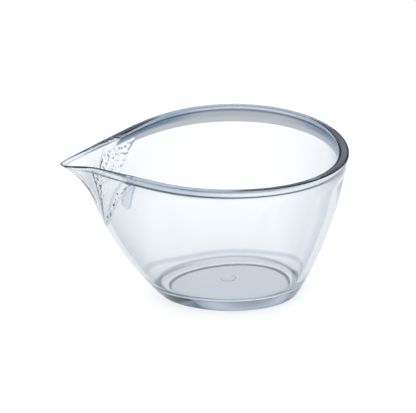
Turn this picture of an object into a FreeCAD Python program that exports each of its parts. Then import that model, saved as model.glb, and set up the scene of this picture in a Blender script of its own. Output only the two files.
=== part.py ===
"""A pressed-glass mixing bowl with an egg-shaped plan and a pointed pouring lip.

The bowl is one piece of glass. Its frame has +Z up and the pouring lip towards -X. The origin is on
the table, under the middle of the bowl's overall length, and the plane y = 0 is its plane of symmetry.
"""
import FreeCAD, Part
import math
import os

# ---- driving dimensions, in millimetres --------------------------------------------------
# Plan sizes are measured from the pressing axis, the line up through the mark in the floor.
HEIGHT = 116.5            # table to the top of the rim

RIM_REAR = 86.5           # pressing axis to the back of the rim
RIM_FRONT = 86.0          # pressing axis to the front of the rim, as if it had no lip
RIM_HALF_WIDTH = 95.0     # pressing axis to the side of the rim
FOOT_REAR = 54.0          # the same three, at the foot
FOOT_FRONT = 51.0
FOOT_HALF_WIDTH = 40.0

LIP_SHOULDER = 22.0       # how far the flanks run out to carry the lip
LIP_REACH = 15.5          # how much further the lip's point runs out
LIP_SAG = 5.3             # how far the flanks of the lip hang below the rim
LIP_DIP = 4.1             # how much further its tip hangs down
LIP_TIP_WALL = 2.4        # thickness of the glass at the tip

BEAD_THICKNESS = 7.6      # glass at the rim
BEAD_HEIGHT = 4.6         # depth of the rounded bead below the top of the rim
BEAD_STEP = 0.5           # how far the bead stands out from the wall under it
CROWN_RADIUS = 2.4        # rounding of the bead's two top edges
WALL_THICKNESS = 5.6      # glass half way up
FLOOR_THICKNESS = 11.5    # glass under the inside floor
FLOOR_FILLET = 4.0        # radius where the inside wall runs into the floor

FOOT_ROUNDING = 2.2       # radius of the foot's bottom edge
FOOT_RING_WIDTH = 4.5     # the ring that the bowl stands on
FOOT_RECESS = 0.8         # depth of the hollow inside that ring

MARK_RADIUS = 5.6         # the plunger's round mark in the middle of the floor
MARK_LINE_RADIUS = 0.4    # half the width of its line

# ---- shape of the plan and of the sides, as plain numbers --------------------------------
REAR_BULGE = 0.76         # how much the back bulges between foot and rim: 0 is a straight side
FRONT_BULGE = 2.16
SIDE_BULGE = 0.46
FOOT_EGG = 0.10           # how much narrower the front is than the back, at the foot
RIM_EGG = -0.12           # the same at the rim
RIM_SHIFT = 14.0          # how far behind the pressing axis the rim is widest

SHOULDER_SHARPNESS = 25   # a higher power gathers the flanks closer to the lip
SHOULDER_CURL = 2.33      # a higher power keeps them nearer the rim
LIP_SHARPNESS = 224       # a higher power makes the point narrower
LIP_START = 0.67          # share of the height where the wall begins to swing out to the point
LIP_CURL = 1.9            # a higher power keeps that swing nearer the rim
SAG_SPREAD = 4            # a lower power spreads the lip's sag further along the rim

SECTION_POINTS = 96       # points that each closed section curve passes through
TIP_CROWDING = 0.8        # how much closer those points lie at the lip than at the back
ARC_STEPS = 4             # sections on each rounded edge


def swell(share, bulge):
    """Growth from foot (0) to rim (1): quick low down and slower near the rim."""
    return share * (1 + bulge) - bulge * share ** 2


def between(start, end, share):
    return start + (end - start) * share


def plan_point(turn, z, inset):
    """The point of the glass at an angle round the pressing axis, counted from the back.

    z is its height before the lip sags, and inset is how far it lies inside the outer face.
    """
    share = z / HEIGHT
    rear = between(FOOT_REAR, RIM_REAR, swell(share, REAR_BULGE)) - inset
    front = between(FOOT_FRONT, RIM_FRONT, swell(share, FRONT_BULGE)) - inset
    half = between(FOOT_HALF_WIDTH, RIM_HALF_WIDTH, swell(share, SIDE_BULGE)) - inset
    egg = between(FOOT_EGG, RIM_EGG, share)
    c = math.cos(turn)
    x = (rear - front) / 2 + (rear + front) / 2 * c + RIM_SHIFT * share * (1 - c * c)
    y = half * math.sin(turn) * (1 + egg * c)

    towards_lip = (1 - c) / 2
    point = towards_lip ** LIP_SHARPNESS
    swing = max(0.0, (share - LIP_START) / (1 - LIP_START)) ** LIP_CURL
    thinned = between(inset, inset * LIP_TIP_WALL / BEAD_THICKNESS, swing)
    x -= LIP_SHOULDER * share ** SHOULDER_CURL * towards_lip ** SHOULDER_SHARPNESS
    x -= (LIP_REACH * swing + inset - thinned) * point
    sag = LIP_SAG * towards_lip ** SAG_SPREAD + LIP_DIP * point
    return FreeCAD.Vector(x, y, z - sag * swing)


def section(z, inset):
    """A closed smooth curve round the bowl in two edges, which meet at the back and at the lip.

    Its points are crowded together towards the lip.
    """
    points = []
    for i in range(SECTION_POINTS):
        even = 2 * math.pi * i / SECTION_POINTS
        turn = even + TIP_CROWDING * math.sin(even)
        points.append(plan_point(turn, z, inset))
    curve = Part.BSplineCurve()
    curve.interpolate(Points=points, PeriodicFlag=True)
    back = curve.FirstParameter
    lip = curve.parameter(points[SECTION_POINTS // 2])
    return Part.Wire([curve.toShape(back, lip), curve.toShape(lip, curve.LastParameter)])


def arc(centre_z, centre_inset, radius, start, end):
    """Heights and insets along a rounded edge; 0 degrees points outwards and 90 up."""
    steps = []
    for i in range(ARC_STEPS + 1):
        angle = math.radians(between(start, end, i / ARC_STEPS))
        steps.append((centre_z + radius * math.sin(angle), centre_inset - radius * math.cos(angle)))
    return steps


def foot_profile():
    """Height and inset of each section round the foot's bottom edge."""
    return arc(FOOT_ROUNDING, BEAD_STEP + FOOT_ROUNDING, FOOT_ROUNDING, -90, 0)


def outside_profile():
    """From the foot up to the step under the bead."""
    profile = [(FOOT_ROUNDING, BEAD_STEP)]
    for share in (0.12, 0.3, 0.5, 0.7, 0.85):
        profile.append((HEIGHT * share, BEAD_STEP))
    profile.append((HEIGHT - BEAD_HEIGHT - BEAD_STEP, BEAD_STEP))
    return profile


def bead_profile():
    """From the step over the rounded top of the bead and down to its inner edge."""
    crown = HEIGHT - CROWN_RADIUS
    profile = [(HEIGHT - BEAD_HEIGHT - BEAD_STEP, BEAD_STEP), (HEIGHT - BEAD_HEIGHT, BEAD_STEP / 2)]
    profile.append((HEIGHT - BEAD_HEIGHT + BEAD_STEP, 0.0))
    profile += arc(crown, CROWN_RADIUS, CROWN_RADIUS, 0, 90)
    profile += arc(crown, BEAD_THICKNESS - CROWN_RADIUS, CROWN_RADIUS, 90, 180)
    return profile


def inside_profile():
    """From the bead down the inside wall and round the fillet into the floor."""
    wall = BEAD_STEP + WALL_THICKNESS
    profile = [(HEIGHT - CROWN_RADIUS, BEAD_THICKNESS)]
    profile.append((HEIGHT - BEAD_HEIGHT, between(BEAD_THICKNESS, wall, 0.3)))
    profile.append((HEIGHT - 2 * BEAD_HEIGHT, between(BEAD_THICKNESS, wall, 0.8)))
    for share in (0.85, 0.7, 0.5, 0.3):
        profile.append((HEIGHT * share, wall))
    profile += arc(FLOOR_THICKNESS + FLOOR_FILLET, wall + FLOOR_FILLET, FLOOR_FILLET, 0, -90)
    return profile


def skin(profile):
    return Part.makeLoft([section(z, inset) for z, inset in profile], False, False).Faces


def bowl_blank():
    """The bowl as it leaves the mould, with a flat underside."""
    foot = foot_profile()
    inside = inside_profile()
    faces = skin(foot) + skin(outside_profile()) + skin(bead_profile()) + skin(inside)
    faces.append(Part.Face(section(*foot[0])))
    faces.append(Part.Face(section(*inside[-1])))
    shell = Part.Shell(faces)
    shell.sewShape()
    return Part.Solid(shell)


def foot_recess():
    """The shallow hollow under the floor, which leaves a ring to stand on."""
    rim = section(0.0, BEAD_STEP + FOOT_ROUNDING + FOOT_RING_WIDTH)
    return Part.Face(rim).extrude(FreeCAD.Vector(0, 0, FOOT_RECESS))


def plunger_mark():
    """The round line that the plunger leaves in the floor, on the pressing axis."""
    return Part.makeTorus(MARK_RADIUS, MARK_LINE_RADIUS, FreeCAD.Vector(0, 0, FLOOR_THICKNESS))


def centred(shape):
    """Slide the bowl along X until the origin is under the middle of its overall length."""
    back = max(plan_point(0.0, z, inset).x for z, inset in bead_profile())
    tip = min(plan_point(math.pi, z, inset).x for z, inset in bead_profile())
    shape.translate(FreeCAD.Vector(-(back + tip) / 2, 0, 0))
    return shape


os.makedirs("parts", exist_ok=True)
bowl = centred(bowl_blank().cut(foot_recess()).cut(plunger_mark()))
print("bowl: valid", bowl.isValid(), "solids", len(bowl.Solids), "volume", round(bowl.Volume), "mm3")
bowl.exportStep("parts/bowl.step")
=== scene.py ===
# %% [markdown]
# # A pressed-glass mixing bowl with a pouring lip
#
# The real bowl is one piece of clear glass. A gob of molten glass is dropped into a mould and a plunger
# pushes it up the sides, so foot, wall, bead and lip are all the same glass. This lesson loads the fixed
# CAD frame, models the bowl as one smooth shell in its place, gives it glass, and sets up a bright
# studio, because clear glass is drawn only by what it bends and mirrors. Painted slate shade on the
# glass's edges adds to those lines.

# %% Load the frame
import math

import bpy
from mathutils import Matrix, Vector


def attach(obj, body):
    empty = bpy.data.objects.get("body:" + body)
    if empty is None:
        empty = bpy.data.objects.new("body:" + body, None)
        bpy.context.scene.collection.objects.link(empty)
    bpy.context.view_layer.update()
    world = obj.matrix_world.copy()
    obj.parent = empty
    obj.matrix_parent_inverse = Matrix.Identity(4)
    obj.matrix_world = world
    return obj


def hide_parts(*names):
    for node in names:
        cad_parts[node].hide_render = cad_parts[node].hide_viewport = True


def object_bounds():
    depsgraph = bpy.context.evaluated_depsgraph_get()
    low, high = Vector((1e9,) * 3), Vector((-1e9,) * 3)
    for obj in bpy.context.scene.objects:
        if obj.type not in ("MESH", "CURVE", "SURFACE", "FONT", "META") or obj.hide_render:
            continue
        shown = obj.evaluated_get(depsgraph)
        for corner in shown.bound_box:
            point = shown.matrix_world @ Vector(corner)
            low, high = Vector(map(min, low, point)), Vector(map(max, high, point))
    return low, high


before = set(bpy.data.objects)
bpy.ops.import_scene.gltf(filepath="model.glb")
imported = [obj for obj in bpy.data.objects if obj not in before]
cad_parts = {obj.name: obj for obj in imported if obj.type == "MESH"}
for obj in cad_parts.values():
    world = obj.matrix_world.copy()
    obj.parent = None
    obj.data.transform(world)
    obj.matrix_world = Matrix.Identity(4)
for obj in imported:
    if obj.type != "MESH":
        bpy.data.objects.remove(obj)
cad_low, cad_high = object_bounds()
print("CAD box in mm:", [round(1000 * v, 1) for v in (*cad_low, *cad_high)])

# %% [markdown]
# ## Sizes
#
# The bowl's sizes are written once here, in metres. Its plan is drawn round the pressing axis, the line
# up through the round mark in the floor. That axis stands one rear radius in from the back of the frame.
# The lip reaches a little less and the sides are a hair narrower than in the CAD, to stay inside its box.

# %% Sizes and the pressing axis
MM = 0.001
HEIGHT = 116.5 * MM
RIM_REAR, RIM_FRONT, RIM_HALF_WIDTH = 86.5 * MM, 86.0 * MM, 94.95 * MM
FOOT_REAR, FOOT_FRONT, FOOT_HALF_WIDTH = 54.0 * MM, 51.0 * MM, 40.0 * MM
BEAD_THICKNESS, BEAD_HEIGHT, BEAD_STEP = 7.6 * MM, 4.6 * MM, 0.5 * MM
CROWN_RADIUS = 2.4 * MM
WALL = BEAD_STEP + 5.6 * MM
FLOOR = 11.5 * MM
FLOOR_FILLET = 4.0 * MM
FOOT_ROUNDING = 2.2 * MM
FOOT_RING = 4.5 * MM
FOOT_RECESS = 0.8 * MM
MARK_RADIUS, MARK_LINE = 5.6 * MM, 0.45 * MM

AXIS_X = cad_high[0] - RIM_REAR
print("pressing axis at x =", round(1000 * AXIS_X, 1), "mm")


# %% [markdown]
# ## Three small helpers
#
# Much of the shape and all of the tint is blended from one value to another, so the blends come first. A
# soft run is used and not a straight one, because glass shows every kink.

# %% Blending helpers
def between(start, end, share):
    return start + (end - start) * share


def fade(value, start, end):
    """0 at start and 1 at end, with a soft run between them."""
    share = min(1.0, max(0.0, (value - start) / (end - start)))
    return share * share * (3 - 2 * share)


def near(value, middle, full, none):
    """1 within `full` of the middle and 0 further off than `none`."""
    return 1 - fade(abs(value - middle), full, none)


print("half way in a blend:", fade(0.5, 0, 1))

# %% [markdown]
# ## The pouring channel
#
# Beside the lip the plunger leaves more room, so the inside wall stands back there and ends in a crease
# on each flank. The creases run together and meet a little above half way up. The channel could be cut out
# with a second body, but thinning the wall in the same function keeps the glass one closed skin.

# %% The channel's reach and depth
CHANNEL_LOW = 62 * MM
CHANNEL_SPREAD, CHANNEL_CURVE = 25, 0.43
CHANNEL_DEPTH, CHANNEL_SLOPE = 0.6, 0.7


def channel_edge(z, widest):
    """How far round from the lip, in degrees, the pouring channel reaches at a height."""
    return widest * max(0.0, (z - CHANNEL_LOW) / (HEIGHT - CHANNEL_LOW)) ** CHANNEL_CURVE


def hollowed(inset, z, from_lip, point):
    """How deep a spot lies in the glass once the channel has been pressed into the wall."""
    edge = channel_edge(z, CHANNEL_SPREAD)
    if from_lip >= edge:
        return inset
    return inset * (1 - CHANNEL_DEPTH * (1 - from_lip / edge) ** CHANNEL_SLOPE * (1 - 0.5 * point))


print("channel at the rim:", channel_edge(HEIGHT, CHANNEL_SPREAD), "degrees each way")

# %% [markdown]
# ## The plan of the bowl
#
# At every height the bowl is an egg. Near the rim two flanks run out from the egg and end in a point that
# hangs a little: that is the pouring lip. One function gives the place of any spot on the glass from its
# angle round the pressing axis, its height, and how deep it lies inside the outer face. Pulling a lip out
# by hand could look alike, but both faces of the glass would then have to be matched by eye.

# %% How the egg grows and the lip runs out
REAR_BULGE, FRONT_BULGE, SIDE_BULGE = 0.76, 2.16, 0.46
FOOT_EGG, RIM_EGG = 0.10, -0.12
RIM_SHIFT = 14 * MM
LIP_SHOULDER, SHOULDER_SHARPNESS, SHOULDER_CURL = 22 * MM, 25, 2.33
LIP_REACH, LIP_SHARPNESS, LIP_TIP_WALL = 15.1 * MM, 224, 2.4 * MM
LIP_START, LIP_CURL = 0.67, 1.9
LIP_SAG, SAG_SPREAD, LIP_DIP = 5.3 * MM, 4, 4.1 * MM


def swell(share, bulge):
    """Growth from foot (0) to rim (1): quick low down and slower near the rim."""
    return share * (1 + bulge) - bulge * share ** 2


print("grown half way up: rear", round(swell(0.5, REAR_BULGE), 2), "front", round(swell(0.5, FRONT_BULGE), 2))


# %% Where a spot of the glass ends up in the mould
def in_mould(turn, z, inset):
    share = max(0.0, z / HEIGHT)
    c = math.cos(turn)
    towards_lip = (1 - c) / 2
    point = towards_lip ** LIP_SHARPNESS
    inset = hollowed(inset, z, abs(math.degrees(math.pi - abs(turn))), point)
    rear = between(FOOT_REAR, RIM_REAR, swell(share, REAR_BULGE)) - inset
    front = between(FOOT_FRONT, RIM_FRONT, swell(share, FRONT_BULGE)) - inset
    half = between(FOOT_HALF_WIDTH, RIM_HALF_WIDTH, swell(share, SIDE_BULGE)) - inset
    x = (rear - front) / 2 + (rear + front) / 2 * c + RIM_SHIFT * share * (1 - c * c)
    y = half * math.sin(turn) * (1 + between(FOOT_EGG, RIM_EGG, share) * c)
    swing = max(0.0, (share - LIP_START) / (1 - LIP_START)) ** LIP_CURL
    thinned = between(inset, inset * LIP_TIP_WALL / BEAD_THICKNESS, swing)
    x -= LIP_SHOULDER * share ** SHOULDER_CURL * towards_lip ** SHOULDER_SHARPNESS
    x -= (LIP_REACH * swing + inset - thinned) * point
    sag = LIP_SAG * towards_lip ** SAG_SPREAD + LIP_DIP * point
    return Vector((AXIS_X + x, y, max(0.0, z - sag * swing)))


print("tip of the lip in mm:", [round(1000 * v, 1) for v in in_mould(math.pi, HEIGHT, 0)])


# %% [markdown]
# ## The wall section
#
# Cut the bowl from top to bottom and it shows one closed line: under the foot, round its edge, up the
# outside, over the bead, down the inside and across the floor. A glassmaker draws this section first.
# Its spots are heights and insets, and lie closest where the glass turns or where a fine line of painted shade
# will be.

# %% The foot and the outside of the section
RING = BEAD_STEP + FOOT_ROUNDING + FOOT_RING
EDGE_UNDER = RING + 4 * MM
BEAD_LOW = HEIGHT - BEAD_HEIGHT
LOW_WALL, LOW_ROWS, HIGH_ROWS = 24 * MM, 20, 24


def arc(centre_z, centre_inset, radius, start, end, steps):
    """Spots along a rounded edge; 0 degrees points outwards and 90 up."""
    spots = []
    for i in range(steps + 1):
        angle = math.radians(between(start, end, i / steps))
        spots.append((centre_z + radius * math.sin(angle), centre_inset - radius * math.cos(angle)))
    return spots


def foot_section():
    spots = [(FOOT_RECESS, EDGE_UNDER), (FOOT_RECESS, RING + 0.8 * MM), (0.2 * MM, RING)]
    spots += [(0.0, RING - 1 * MM), (0.0, RING - 4 * MM)]
    return spots + arc(FOOT_ROUNDING, BEAD_STEP + FOOT_ROUNDING, FOOT_ROUNDING, -90, 0, 6)


def outside_section():
    spots = []
    for i in range(1, LOW_ROWS + 1):
        spots.append((between(FOOT_ROUNDING, LOW_WALL, i / LOW_ROWS), BEAD_STEP))
    for i in range(1, HIGH_ROWS + 1):
        spots.append((between(LOW_WALL, BEAD_LOW - 1.5 * MM, i / HIGH_ROWS), BEAD_STEP))
    return spots


print("foot and outside:", len(foot_section()), "and", len(outside_section()), "spots")

# %% The bead and the inside of the section
CROWN = HEIGHT - CROWN_RADIUS
FILLET_TOP = FLOOR + FLOOR_FILLET
INSIDE_ROWS, ROW_CROWDING = 54, 1.35
BEAD_RUN_OUT = 12 * MM


def bead_section():
    spots = [(BEAD_LOW - 0.7 * MM, BEAD_STEP), (BEAD_LOW - 0.2 * MM, BEAD_STEP * 0.8)]
    spots += [(BEAD_LOW + 0.3 * MM, BEAD_STEP * 0.2), (BEAD_LOW + 0.8 * MM, 0.0)]
    spots += arc(CROWN, CROWN_RADIUS, CROWN_RADIUS, 0, 90, 7)
    return spots + arc(CROWN, BEAD_THICKNESS - CROWN_RADIUS, CROWN_RADIUS, 90, 180, 7)


def inside_section():
    spots = []
    for i in range(INSIDE_ROWS + 1):
        z = between(BEAD_LOW, FILLET_TOP, (i / INSIDE_ROWS) ** ROW_CROWDING)
        bead = max(0.0, 1 - (BEAD_LOW - z) / BEAD_RUN_OUT) ** 2
        spots.append((z, between(WALL, BEAD_THICKNESS, 0.8 * bead)))
    return spots + arc(FILLET_TOP, WALL + FLOOR_FILLET, FLOOR_FILLET, 0, -90, 8)[1:]


section = foot_section() + outside_section() + bead_section() + inside_section()
print("wall section:", len(section), "spots")

# %% [markdown]
# ## The blank
#
# The section is drawn by extruding one corner from spot to spot, and spun round the axis. That gives a
# plain round tumbler, which already has every wall, rounding and ring of the bowl at its true thickness.
# The plunger's round mark is a fine groove in the middle of the floor. A bevel on a block would give the
# roundings too, but a drawn section sets each one where the bowl needs it.

# %% The whole route round the section, from the middle of the foot to the middle of the floor
RADIUS = RIM_HALF_WIDTH
EDGE_FLOOR = WALL + FLOOR_FILLET
HUB, HALF_WAY, FLOOR_RIM = 9 * MM, 24 * MM, 45 * MM
route = [(0.0, FOOT_RECESS), (HUB, FOOT_RECESS), (HALF_WAY, FOOT_RECESS)]
route += [(RADIUS - inset, z) for z, inset in section]
route += [(RADIUS - EDGE_FLOOR - 1.5 * MM, FLOOR), (FLOOR_RIM, FLOOR), (HALF_WAY, FLOOR), (HUB, FLOOR)]
for step, dip in ((2.5, 0), (1.2, 0), (0.6, 0.5), (0, 1), (-0.6, 0.5), (-1.2, 0), (-2.5, 0)):
    route.append((MARK_RADIUS + step * MARK_LINE, FLOOR - dip * MARK_LINE))
route.append((0.0, FLOOR))
print("route:", len(route), "spots")

# %% Draw the route and spin it
AROUND = 400
bpy.ops.object.select_all(action="DESELECT")
bpy.ops.mesh.primitive_plane_add(size=MM, location=(route[0][0], 0, route[0][1]))
bowl = bpy.context.active_object
bowl.name = "glass_bowl"
bpy.ops.object.transform_apply(location=True, rotation=True, scale=True)
bpy.ops.object.mode_set(mode="EDIT")
bpy.ops.mesh.select_all(action="SELECT")
bpy.ops.mesh.merge(type="CENTER")
for (r0, z0), (r1, z1) in zip(route, route[1:]):
    bpy.ops.mesh.extrude_region_move(TRANSFORM_OT_translate={"value": (r1 - r0, 0, z1 - z0)})
bpy.ops.mesh.select_all(action="SELECT")
bpy.ops.mesh.spin(steps=AROUND, angle=2 * math.pi, center=(0, 0, 0), axis=(0, 0, 1))
bpy.ops.mesh.select_all(action="SELECT")
bpy.ops.mesh.remove_doubles(threshold=0.00001)
bpy.ops.mesh.normals_make_consistent(inside=False)
bpy.ops.object.mode_set(mode="OBJECT")
print("blank:", len(bowl.data.vertices), "corners,", len(bowl.data.polygons), "faces")

# %% [markdown]
# ## Pressed marks beside the lip
#
# On the real bowl a strip of fine pebbles runs down each flank beside the lip, wide on one flank and narrow
# on the other, with a long drop beside the narrow one. They follow the glass, so they are kept as masks on
# its corners: a number for each corner says how pebbled it is, or how much painted slate shade it gets. The
# strips' edges and the drop have no shape of their own: they are drawn only as painted shade. A picture
# wrapped round the bowl could do the same, but would be stretched at the lip.

# %% Where the wall is pebbled
STRIPS = {True: (18, 40), False: (25, 29.5)}
STRIP_LOW = CHANNEL_LOW + 2 * MM


def pebbles_at(degrees, z, far):
    """How pebbled the inside wall is, from the angle off the lip and the height."""
    if z < STRIP_LOW:
        return 0.0
    outer, inner = (channel_edge(z, side) for side in STRIPS[far])
    roof = between(101 * MM, 107 * MM, fade(degrees, 8, 22)) if far else BEAD_LOW
    sides = fade(degrees, outer - 1.5, outer + 1) * (1 - fade(degrees, inner - 1.5, inner + 0.5))
    return sides * (1 - fade(z, roof - 1 * MM, roof + 1 * MM)) * fade(z, STRIP_LOW, STRIP_LOW + 4 * MM)


print("strips, in degrees from the lip:", STRIPS[True], "and", STRIPS[False])

# %% The strips' edges and the drop, as painted shade
DROP_LOW, DROP_ROUND, DROP_HIGH = 86 * MM, 93 * MM, 110 * MM
DROP_END = 6 * MM
# Painted shade: how slate the strips' edge lines, the drop and its outline are painted.
STRIP_EDGE_SHADE, DROP_SHADE, DROP_LINE_SHADE = 0.45, 0.4, 0.45


def strip_edges(z, degrees, far):
    """The two fine lines that frame each pebbled strip, drawn as painted dark shade."""
    if z >= BEAD_LOW:
        return 0.0
    return STRIP_EDGE_SHADE * max(near(degrees, channel_edge(z, side), 0.4, 1.0) for side in STRIPS[far])


def drop_mark(z, degrees):
    """A long drop beside the narrow strip, painted as grey shade with a dark outline: thin at the top and
    round at the bottom.
    """
    if not DROP_LOW < z < DROP_HIGH:
        return 0.0
    down = fade(z, DROP_HIGH, DROP_ROUND) if z > DROP_ROUND else 1.0
    middle, half = 29.5 - 2.2 * down, 0.6 + 1.9 * down
    if z < DROP_ROUND:
        half *= math.sqrt(max(0.0, 1 - ((DROP_ROUND - z) / DROP_END) ** 2))
    away = abs(degrees - middle)
    return DROP_SHADE * (1 - fade(away, half - 0.2, half + 0.2)) + DROP_LINE_SHADE * near(away, half, 0.2, 0.7)


print("drop:", round((DROP_HIGH - DROP_LOW) / MM), "mm long")

# %% [markdown]
# ## Painted edge shade
#
# Light runs a long way along the bead, the foot and the corner of the floor, and they look slate blue.
# Here that is painted shade: a slate tint in the glass's colour, in place of the dark lines that bending
# and mirroring would draw. The mask for it is painted by height, by depth in the glass and by the angle off
# the lip, 0 at the lip, 95 at the middle of a flank and 180 at the back. The far flank is seen through the
# inside and is paler low down.

# %% Painted shade on the bead
OUTSIDE, INSIDE = 1 * MM, 0.6 * WALL
# Painted shade: how slate each part of the bead is painted.
TOP_SHADE, UNDER_SHADE, BACK_SHADE = 0.85, 0.6, 0.8
RUN_OUT_SHADE = {True: 0.9, False: 0.6}


def bead_shade(z, inset, degrees, far):
    """Painted shade on the bead's top, the step under it, its back end, and the inside wall where it runs out.
    """
    top = fade(z, HEIGHT - 1.0 * MM, HEIGHT - 0.3 * MM)
    top *= 0.7 + 0.3 * fade(abs(inset - BEAD_THICKNESS / 2), 0.8 * MM, 1.6 * MM)
    under = near(z, BEAD_LOW, 0.5 * MM, 1.2 * MM) if inset < OUTSIDE else 0.0
    back = fade(degrees, 138, 160) * fade(z, HEIGHT - 7 * MM, HEIGHT - 5 * MM)
    back *= 0.45 + 0.55 * fade(abs(inset - 4.6 * MM), 0.7 * MM, 1.6 * MM)
    inner = fade(z, HEIGHT - 9 * MM, HEIGHT - 6 * MM) * fade(degrees, 21, 26) if inset > INSIDE else 0.0
    inner *= 1 - 0.75 * fade(degrees, 55, 80) + 0.65 * fade(degrees, 120, 155)
    return max(TOP_SHADE * top, UNDER_SHADE * under, BACK_SHADE * back, RUN_OUT_SHADE[far] * inner)


print("bead at the back, on top:", round(bead_shade(HEIGHT, BEAD_THICKNESS / 2, 180, True), 2))

# %% Painted shade on the foot and the floor's corner
FLANK = 95
# Painted shade: how slate the foot's edge and the floor's corner are painted.
FOOT_RIM_SHADE, CORNER_SHADE = 0.75, 0.9


def foot_shade(z, inset, degrees, far):
    """Painted shade on the foot's edge, a painted dark line in the outer wall where the floor's edge shows
    through, and painted shade in the floor's corner.
    """
    off_flank = abs(degrees - FLANK)
    edge = near(z, 3.2 * MM, 0.9 * MM, 2.0 * MM) if inset < 4 * MM else 0.0
    edge *= 0.04 + 0.96 * fade(off_flank, 15, 50)
    level = FLOOR + 4.5 * MM * fade(off_flank, 25, 80)
    line = near(z, level, 1.0 * MM, 2.4 * MM) if inset < OUTSIDE else 0.0
    line *= 0.5 if far else 0.25 + 0.65 * fade(off_flank, 20, 60)
    in_corner = z < HEIGHT / 2 and inset > WALL
    corner = near(inset, EDGE_FLOOR - 0.9 * MM, 0.8 * MM, 1.6 * MM) if in_corner else 0.0
    corner *= 0.7 if far else 1.0
    return max(FOOT_RIM_SHADE * edge, line, CORNER_SHADE * corner)


def shade_at(z, inset, degrees, far):
    """How much painted slate shade a spot gets, from all the painted marks on it."""
    shade = max(bead_shade(z, inset, degrees, far), foot_shade(z, inset, degrees, far))
    if inset > INSIDE and z > CHANNEL_LOW + 4 * MM:
        shade = max(shade, strip_edges(z, degrees, far), 0.0 if far else drop_mark(z, degrees))
    return shade


print("foot at the back:", round(foot_shade(3.2 * MM, 0, 180, True), 2))

# %% [markdown]
# ## Pressing
#
# Each corner of the tumbler now moves to its place in the mould. Corners are crowded towards the lip,
# where the shape turns fastest, and inside the foot and the floor they run in to a round hub. A lattice or
# proportional editing could bend the tumbler too, but not to a set thickness at every height.

# %% Press the blank
CROWDING = 0.8


def turn_of(corner):
    even = math.atan2(corner.y, corner.x)
    return even + CROWDING * math.sin(even)


def pressed(corner):
    radius = math.hypot(corner.x, corner.y)
    turn = turn_of(corner)
    edge = EDGE_FLOOR if corner.z > FLOOR / 2 else EDGE_UNDER
    if RADIUS - radius <= edge + 1e-6:
        return in_mould(turn, corner.z, RADIUS - radius)
    in_hub = min(radius, HUB)
    hub = Vector((AXIS_X + in_hub * math.cos(turn), in_hub * math.sin(turn), corner.z))
    out = max(0.0, (radius - HUB) / (RADIUS - edge - HUB))
    return hub.lerp(in_mould(turn, corner.z, edge), out)


pebbled = bowl.data.attributes.new("pebbled", "FLOAT", "POINT")
# Painted shade: a number for each corner says how slate its glass is painted.
shaded = bowl.data.attributes.new("painted_shade", "FLOAT", "POINT")
for spot, vertex in enumerate(bowl.data.vertices):
    z, far = vertex.co.z, vertex.co.y > 0
    inset = RADIUS - math.hypot(vertex.co.x, vertex.co.y)
    degrees = math.degrees(math.pi - abs(turn_of(vertex.co)))
    if inset > INSIDE and z > CHANNEL_LOW:
        pebbled.data[spot].value = pebbles_at(degrees, z, far)
    shaded.data[spot].value = shade_at(z, inset, degrees, far)
    vertex.co = pressed(vertex.co)
bowl.data.update()
print("deepest mark:", round(max(spot.value for spot in shaded.data), 2))
print("pressed bowl in mm:", [round(1000 * size, 1) for size in bowl.dimensions])

# %% Smooth shading
bpy.ops.object.select_all(action="DESELECT")
bowl.select_set(True)
bpy.context.view_layer.objects.active = bowl
bpy.ops.object.shade_smooth()
print("bowl:", len(bowl.data.polygons), "faces")

# %% [markdown]
# ## Clear glass
#
# The bowl is clear glass with a smooth face, so its body is one Principled shader with full transmission
# and no roughness. Such glass takes a little red out of light that runs far through it, and Volume
# Absorption does that, because it works along the true length of each ray. A tint on the face alone would
# be the same through thick glass and thin.

# %% The glass body
def add(nodes, kind, values=(), **settings):
    """A new shader node with its settings and the values of its sockets."""
    made = nodes.new(kind)
    for name, value in settings.items():
        setattr(made, name, value)
    for socket, value in values:
        made.inputs[socket].default_value = value
    return made


GLASS_INDEX = 1.5
GLASS_BODY, GLASS_DENSITY = (0.275, 0.475, 0.6375, 1), 8.0
glass = bpy.data.materials.new("clear_pressed_glass")
glass.use_nodes = True
nodes, links = glass.node_tree.nodes, glass.node_tree.links
body = nodes["Principled BSDF"]
body.inputs["Roughness"].default_value = 0.0
body.inputs["IOR"].default_value = GLASS_INDEX
body.inputs["Transmission Weight"].default_value = 1.0
depth = add(nodes, "ShaderNodeVolumeAbsorption", [("Color", GLASS_BODY), ("Density", GLASS_DENSITY)])
links.new(depth.outputs["Volume"], nodes["Material Output"].inputs["Volume"])
print("glass:", glass.name, "with an index of", GLASS_INDEX)

# %% [markdown]
# ## The painted shade of deep edges
#
# The tint is a face colour, and it is painted shade: glass lets through white light where the glass is
# thin and a painted slate where it is deep, in place of the dark lines that bending and mirroring would
# draw. The mask painted on the corners says where that is, and Layer Weight adds painted shade on the sides
# that curve away, in the way that glass edges darken. The darker of the two wins.

# %% Painted slate shade where the glass is deep and on the sides that curve away
# CLEAR is the glass's own faint colour; the slate is the colour of the painted shade.
CLEAR, SHADE_SLATE, STEEPNESS = (0.955, 0.965, 0.978, 1), (0.03, 0.13, 0.25, 1), 2.5
painted = add(nodes, "ShaderNodeAttribute", attribute_name="painted_shade")
facing = add(nodes, "ShaderNodeLayerWeight", [("Blend", 0.5)])
steep = add(nodes, "ShaderNodeMath", [(1, STEEPNESS)], operation="POWER")
darkest = add(nodes, "ShaderNodeMath", operation="MAXIMUM")
tint = add(nodes, "ShaderNodeMix", data_type="RGBA")
tint.inputs["A"].default_value, tint.inputs["B"].default_value = CLEAR, SHADE_SLATE
links.new(facing.outputs["Facing"], steep.inputs[0])
links.new(painted.outputs["Fac"], darkest.inputs[0])
links.new(steep.outputs[0], darkest.inputs[1])
links.new(darkest.outputs[0], tint.inputs["Factor"])
links.new(tint.outputs["Result"], body.inputs["Base Color"])
# Counts the corners whose painted shade is more than half slate.
print("deep edges:", sum(1 for spot in shaded.data if spot.value > 0.5), "corners are more than half slate")

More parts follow.
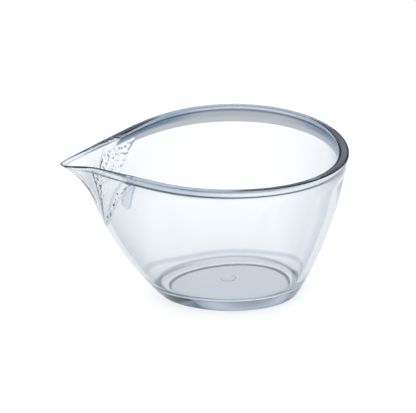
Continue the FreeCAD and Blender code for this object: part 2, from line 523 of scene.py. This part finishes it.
# %% [markdown]
# ## Pebbled strips
#
# The pebbles in the two strips are too low to show in the outline, so they are a bump and not a shape:
# rounded cells, shown only where the pebbled mask was painted. Modelled pebbles would take many more faces
# for marks that are a fraction of a millimetre high.

# %% Fine pebbles beside the lip
PEBBLE_SCALE, PEBBLE_HEIGHT = 380.0, 0.9 * MM
marks = add(nodes, "ShaderNodeAttribute", attribute_name="pebbled")
coords = add(nodes, "ShaderNodeTexCoord")
pebbles = add(nodes, "ShaderNodeTexVoronoi", [("Scale", PEBBLE_SCALE)], feature="SMOOTH_F1")
high = add(nodes, "ShaderNodeMath", operation="MULTIPLY")
bump = add(nodes, "ShaderNodeBump", [("Strength", 1.0), ("Distance", PEBBLE_HEIGHT)])
links.new(coords.outputs["Object"], pebbles.inputs["Vector"])
links.new(marks.outputs["Fac"], high.inputs[0])
links.new(pebbles.outputs["Distance"], high.inputs[1])
links.new(high.outputs[0], bump.inputs["Height"])
links.new(bump.outputs["Normal"], body.inputs["Normal"])
print("pebbles:", sum(1 for spot in pebbled.data if spot.value > 0.5), "corners lie in the strips")

# %% [markdown]
# ## In its place
#
# The glass goes on the pressed bowl, and the bowl takes the place of the CAD's bowl on the frame's one body.
# Nothing on a glass bowl moves, so it rides on the root.

# %% The finished bowl takes the CAD bowl's place
bowl.data.materials.clear()
bowl.data.materials.append(glass)
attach(bowl, "root")
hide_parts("bowl")
print("bowl in mm:", [round(1000 * size, 1) for size in bowl.dimensions])

# %% [markdown]
# ## The table
#
# The bowl stands on a round white table. Its paint reflects less than half of the light, so that the bowl
# keeps a soft shadow, and glows to make up the rest of white. The glow is off for diffuse rays, so that it
# adds no light to the scene. Under the foot it is a little weaker: a painted shadow, where the thick glass
# keeps light off.

# %% White table
TABLE_RADIUS, TABLE_COLOUR = 0.44, (0.45, 0.45, 0.45, 1)
bpy.ops.object.select_all(action="DESELECT")
bpy.ops.mesh.primitive_circle_add(vertices=96, radius=TABLE_RADIUS, fill_type="NGON", location=(0, 0, 0))
table = bpy.context.active_object
table.name = "white_table"
paint = bpy.data.materials.new("white_table_paint")
paint.use_nodes = True
nodes, links = paint.node_tree.nodes, paint.node_tree.links
body = nodes["Principled BSDF"]
body.inputs["Base Color"].default_value = TABLE_COLOUR
body.inputs["Roughness"].default_value = 1.0
body.inputs["Specular IOR Level"].default_value = 0.0
body.inputs["Emission Color"].default_value = (1, 1, 1, 1)
table.data.materials.append(paint)
print("table:", round(table.dimensions.x, 2), "m across")

# %% Its glow, weaker under the foot: a painted shadow
GLOW, FOOT_SHADOW_GLOW = 0.70, 0.95
# The painted shadow under the foot fades out between these sizes of the foot's outline.
FOOT_EDGE, FOOT_EDGE_END = 0.95, 1.2
coords = add(nodes, "ShaderNodeTexCoord")
foot_print = add(nodes, "ShaderNodeMapping", vector_type="TEXTURE")
foot_print.inputs["Location"].default_value = (AXIS_X + (FOOT_REAR - FOOT_FRONT) / 2, 0, 0)
foot_print.inputs["Scale"].default_value = ((FOOT_REAR + FOOT_FRONT) / 2, FOOT_HALF_WIDTH, 1)
away = add(nodes, "ShaderNodeVectorMath", operation="LENGTH")
clear = add(nodes, "ShaderNodeMapRange", interpolation_type="SMOOTHSTEP")
clear.inputs["From Min"].default_value, clear.inputs["From Max"].default_value = FOOT_EDGE, FOOT_EDGE_END
clear.inputs["To Min"].default_value = FOOT_SHADOW_GLOW
path = add(nodes, "ShaderNodeLightPath")
glow = add(nodes, "ShaderNodeMath", [(1, -GLOW), (2, GLOW)], operation="MULTIPLY_ADD")
open_glow = add(nodes, "ShaderNodeMath", operation="MULTIPLY")
links.new(coords.outputs["Object"], foot_print.inputs["Vector"])
links.new(foot_print.outputs["Vector"], away.inputs[0])
links.new(away.outputs["Value"], clear.inputs["Value"])
links.new(path.outputs["Is Diffuse Ray"], glow.inputs[0])
links.new(glow.outputs[0], open_glow.inputs[0])
links.new(clear.outputs["Result"], open_glow.inputs[1])
links.new(open_glow.outputs[0], body.inputs["Emission Strength"])
print("table glow:", GLOW)

# %% [markdown]
# ## The light and the dark cards
#
# Clear glass has no colour of its own, so it is drawn by what it bends and mirrors. The room is plain white
# light from all sides. Round the table stand large cards, dark slate near eye level and higher up, and
# pale in between: their bent and mirrored images are the dark and light lines in the bead and the foot,
# together with the painted slate shade on the glass.
# They are one big sphere with bands of colour by height. The camera and the table's light pass through it,
# so the glass alone shows it, and lamps are not needed. Separate cards could be set up one by one, but the
# bands are easier to move up and down until each line in the glass is right.

# %% White room
room = bpy.data.worlds.new("white_room")
bpy.context.scene.world = room
room.use_nodes = True
light = room.node_tree.nodes["Background"]
light.inputs["Color"].default_value = (1, 1, 1, 1)
light.inputs["Strength"].default_value = 1.0
print("room light:", light.inputs["Strength"].default_value)

# %% Bands of pale and dark card, by the angle above the table
BANDS = [
    (-90, (0.9, 0.9, 0.9)), (-16, (0.6, 0.62, 0.65)), (-8, (0.5, 0.52, 0.56)), (-4, (0.16, 0.20, 0.25)),
    (0, (0.04, 0.07, 0.11)), (9, (0.03, 0.06, 0.10)), (15, (0.25, 0.28, 0.32)), (22, (0.90, 0.92, 0.95)),
    (38, (0.5, 0.53, 0.56)), (44, (0.10, 0.17, 0.28)), (60, (0.12, 0.19, 0.28)), (70, (0.35, 0.38, 0.42)),
    (90, (0.5, 0.5, 0.5)),
]
CARD_RADIUS = 3.0
bpy.ops.object.select_all(action="DESELECT")
bpy.ops.mesh.primitive_uv_sphere_add(segments=64, ring_count=32, radius=CARD_RADIUS, location=(0, 0, 0))
cards = bpy.context.active_object
cards.name = "studio_cards"
cards.visible_camera = cards.visible_diffuse = cards.visible_shadow = False
print("cards:", len(BANDS), "bands")

# %% The cards' colour
card = bpy.data.materials.new("banded_card")
card.use_nodes = True
nodes, links = card.node_tree.nodes, card.node_tree.links
nodes.clear()
coords = add(nodes, "ShaderNodeTexCoord")
split = add(nodes, "ShaderNodeSeparateXYZ")
height = add(nodes, "ShaderNodeMapRange", [("From Min", -CARD_RADIUS), ("From Max", CARD_RADIUS)])
ramp = add(nodes, "ShaderNodeValToRGB")
bands = ramp.color_ramp
for spot, (degrees, colour) in enumerate(BANDS):
    place = (math.sin(math.radians(degrees)) + 1) / 2
    step = bands.elements[spot] if spot < 2 else bands.elements.new(place)
    step.position = place
    step.color = (*colour, 1)
shine = add(nodes, "ShaderNodeEmission")
gone = add(nodes, "ShaderNodeBsdfTransparent")
path = add(nodes, "ShaderNodeLightPath")
mix = add(nodes, "ShaderNodeMixShader")
out = add(nodes, "ShaderNodeOutputMaterial")
links.new(coords.outputs["Object"], split.inputs[0])
links.new(split.outputs["Z"], height.inputs["Value"])
links.new(height.outputs["Result"], ramp.inputs["Fac"])
links.new(ramp.outputs["Color"], shine.inputs["Color"])
links.new(path.outputs["Diffuse Depth"], mix.inputs["Fac"])
links.new(shine.outputs[0], mix.inputs[1])
links.new(gone.outputs[0], mix.inputs[2])
links.new(mix.outputs[0], out.inputs["Surface"])
cards.data.materials.append(card)
print("card colours run from", BANDS[0][0], "to", BANDS[-1][0], "degrees")

# %% [markdown]
# ## The camera
#
# A long lens from just over a metre away keeps the bowl's ellipses gentle. It looks down enough to show the
# inside, and from a little to the lip's side.

# %% Camera
TURNED, RAISED, DISTANCE = math.radians(-8), math.radians(22.0), 1.106
SENSOR, FOCUS, FRAME_WIDTH = 36.0, 1500, 416
AIM_OFF_AXIS, AIM_HEIGHT = -15.4 * MM, 68.3 * MM
towards = Vector((math.sin(TURNED) * math.cos(RAISED), -math.cos(TURNED) * math.cos(RAISED), math.sin(RAISED)))
target = Vector((AXIS_X + AIM_OFF_AXIS, 0, AIM_HEIGHT))
camera = bpy.data.objects.new("camera", bpy.data.cameras.new("camera"))
bpy.context.scene.collection.objects.link(camera)
camera.location = target + towards * DISTANCE
camera.rotation_euler = (-towards).to_track_quat("-Z", "Y").to_euler()
camera.data.sensor_width = SENSOR
camera.data.lens = SENSOR * FOCUS / FRAME_WIDTH
bpy.context.scene.camera = camera
print("camera:", round(DISTANCE, 2), "m away, lens", round(camera.data.lens, 1), "mm")

# %% [markdown]
# ## How far light may go
#
# A ray can cross the outside, the wall, the foot and the far side, and bounce inside the bead, so glass needs
# more bounces than most things do. With too few, the deep parts turn black.

# %% Light bounces
GLASS_BOUNCES, MIRROR_BOUNCES = 24, 12
scene = bpy.context.scene
scene.view_settings.view_transform = "Standard"
scene.cycles.max_bounces = scene.cycles.transmission_bounces = GLASS_BOUNCES
scene.cycles.glossy_bounces = MIRROR_BOUNCES
print("bounces through glass:", GLASS_BOUNCES)
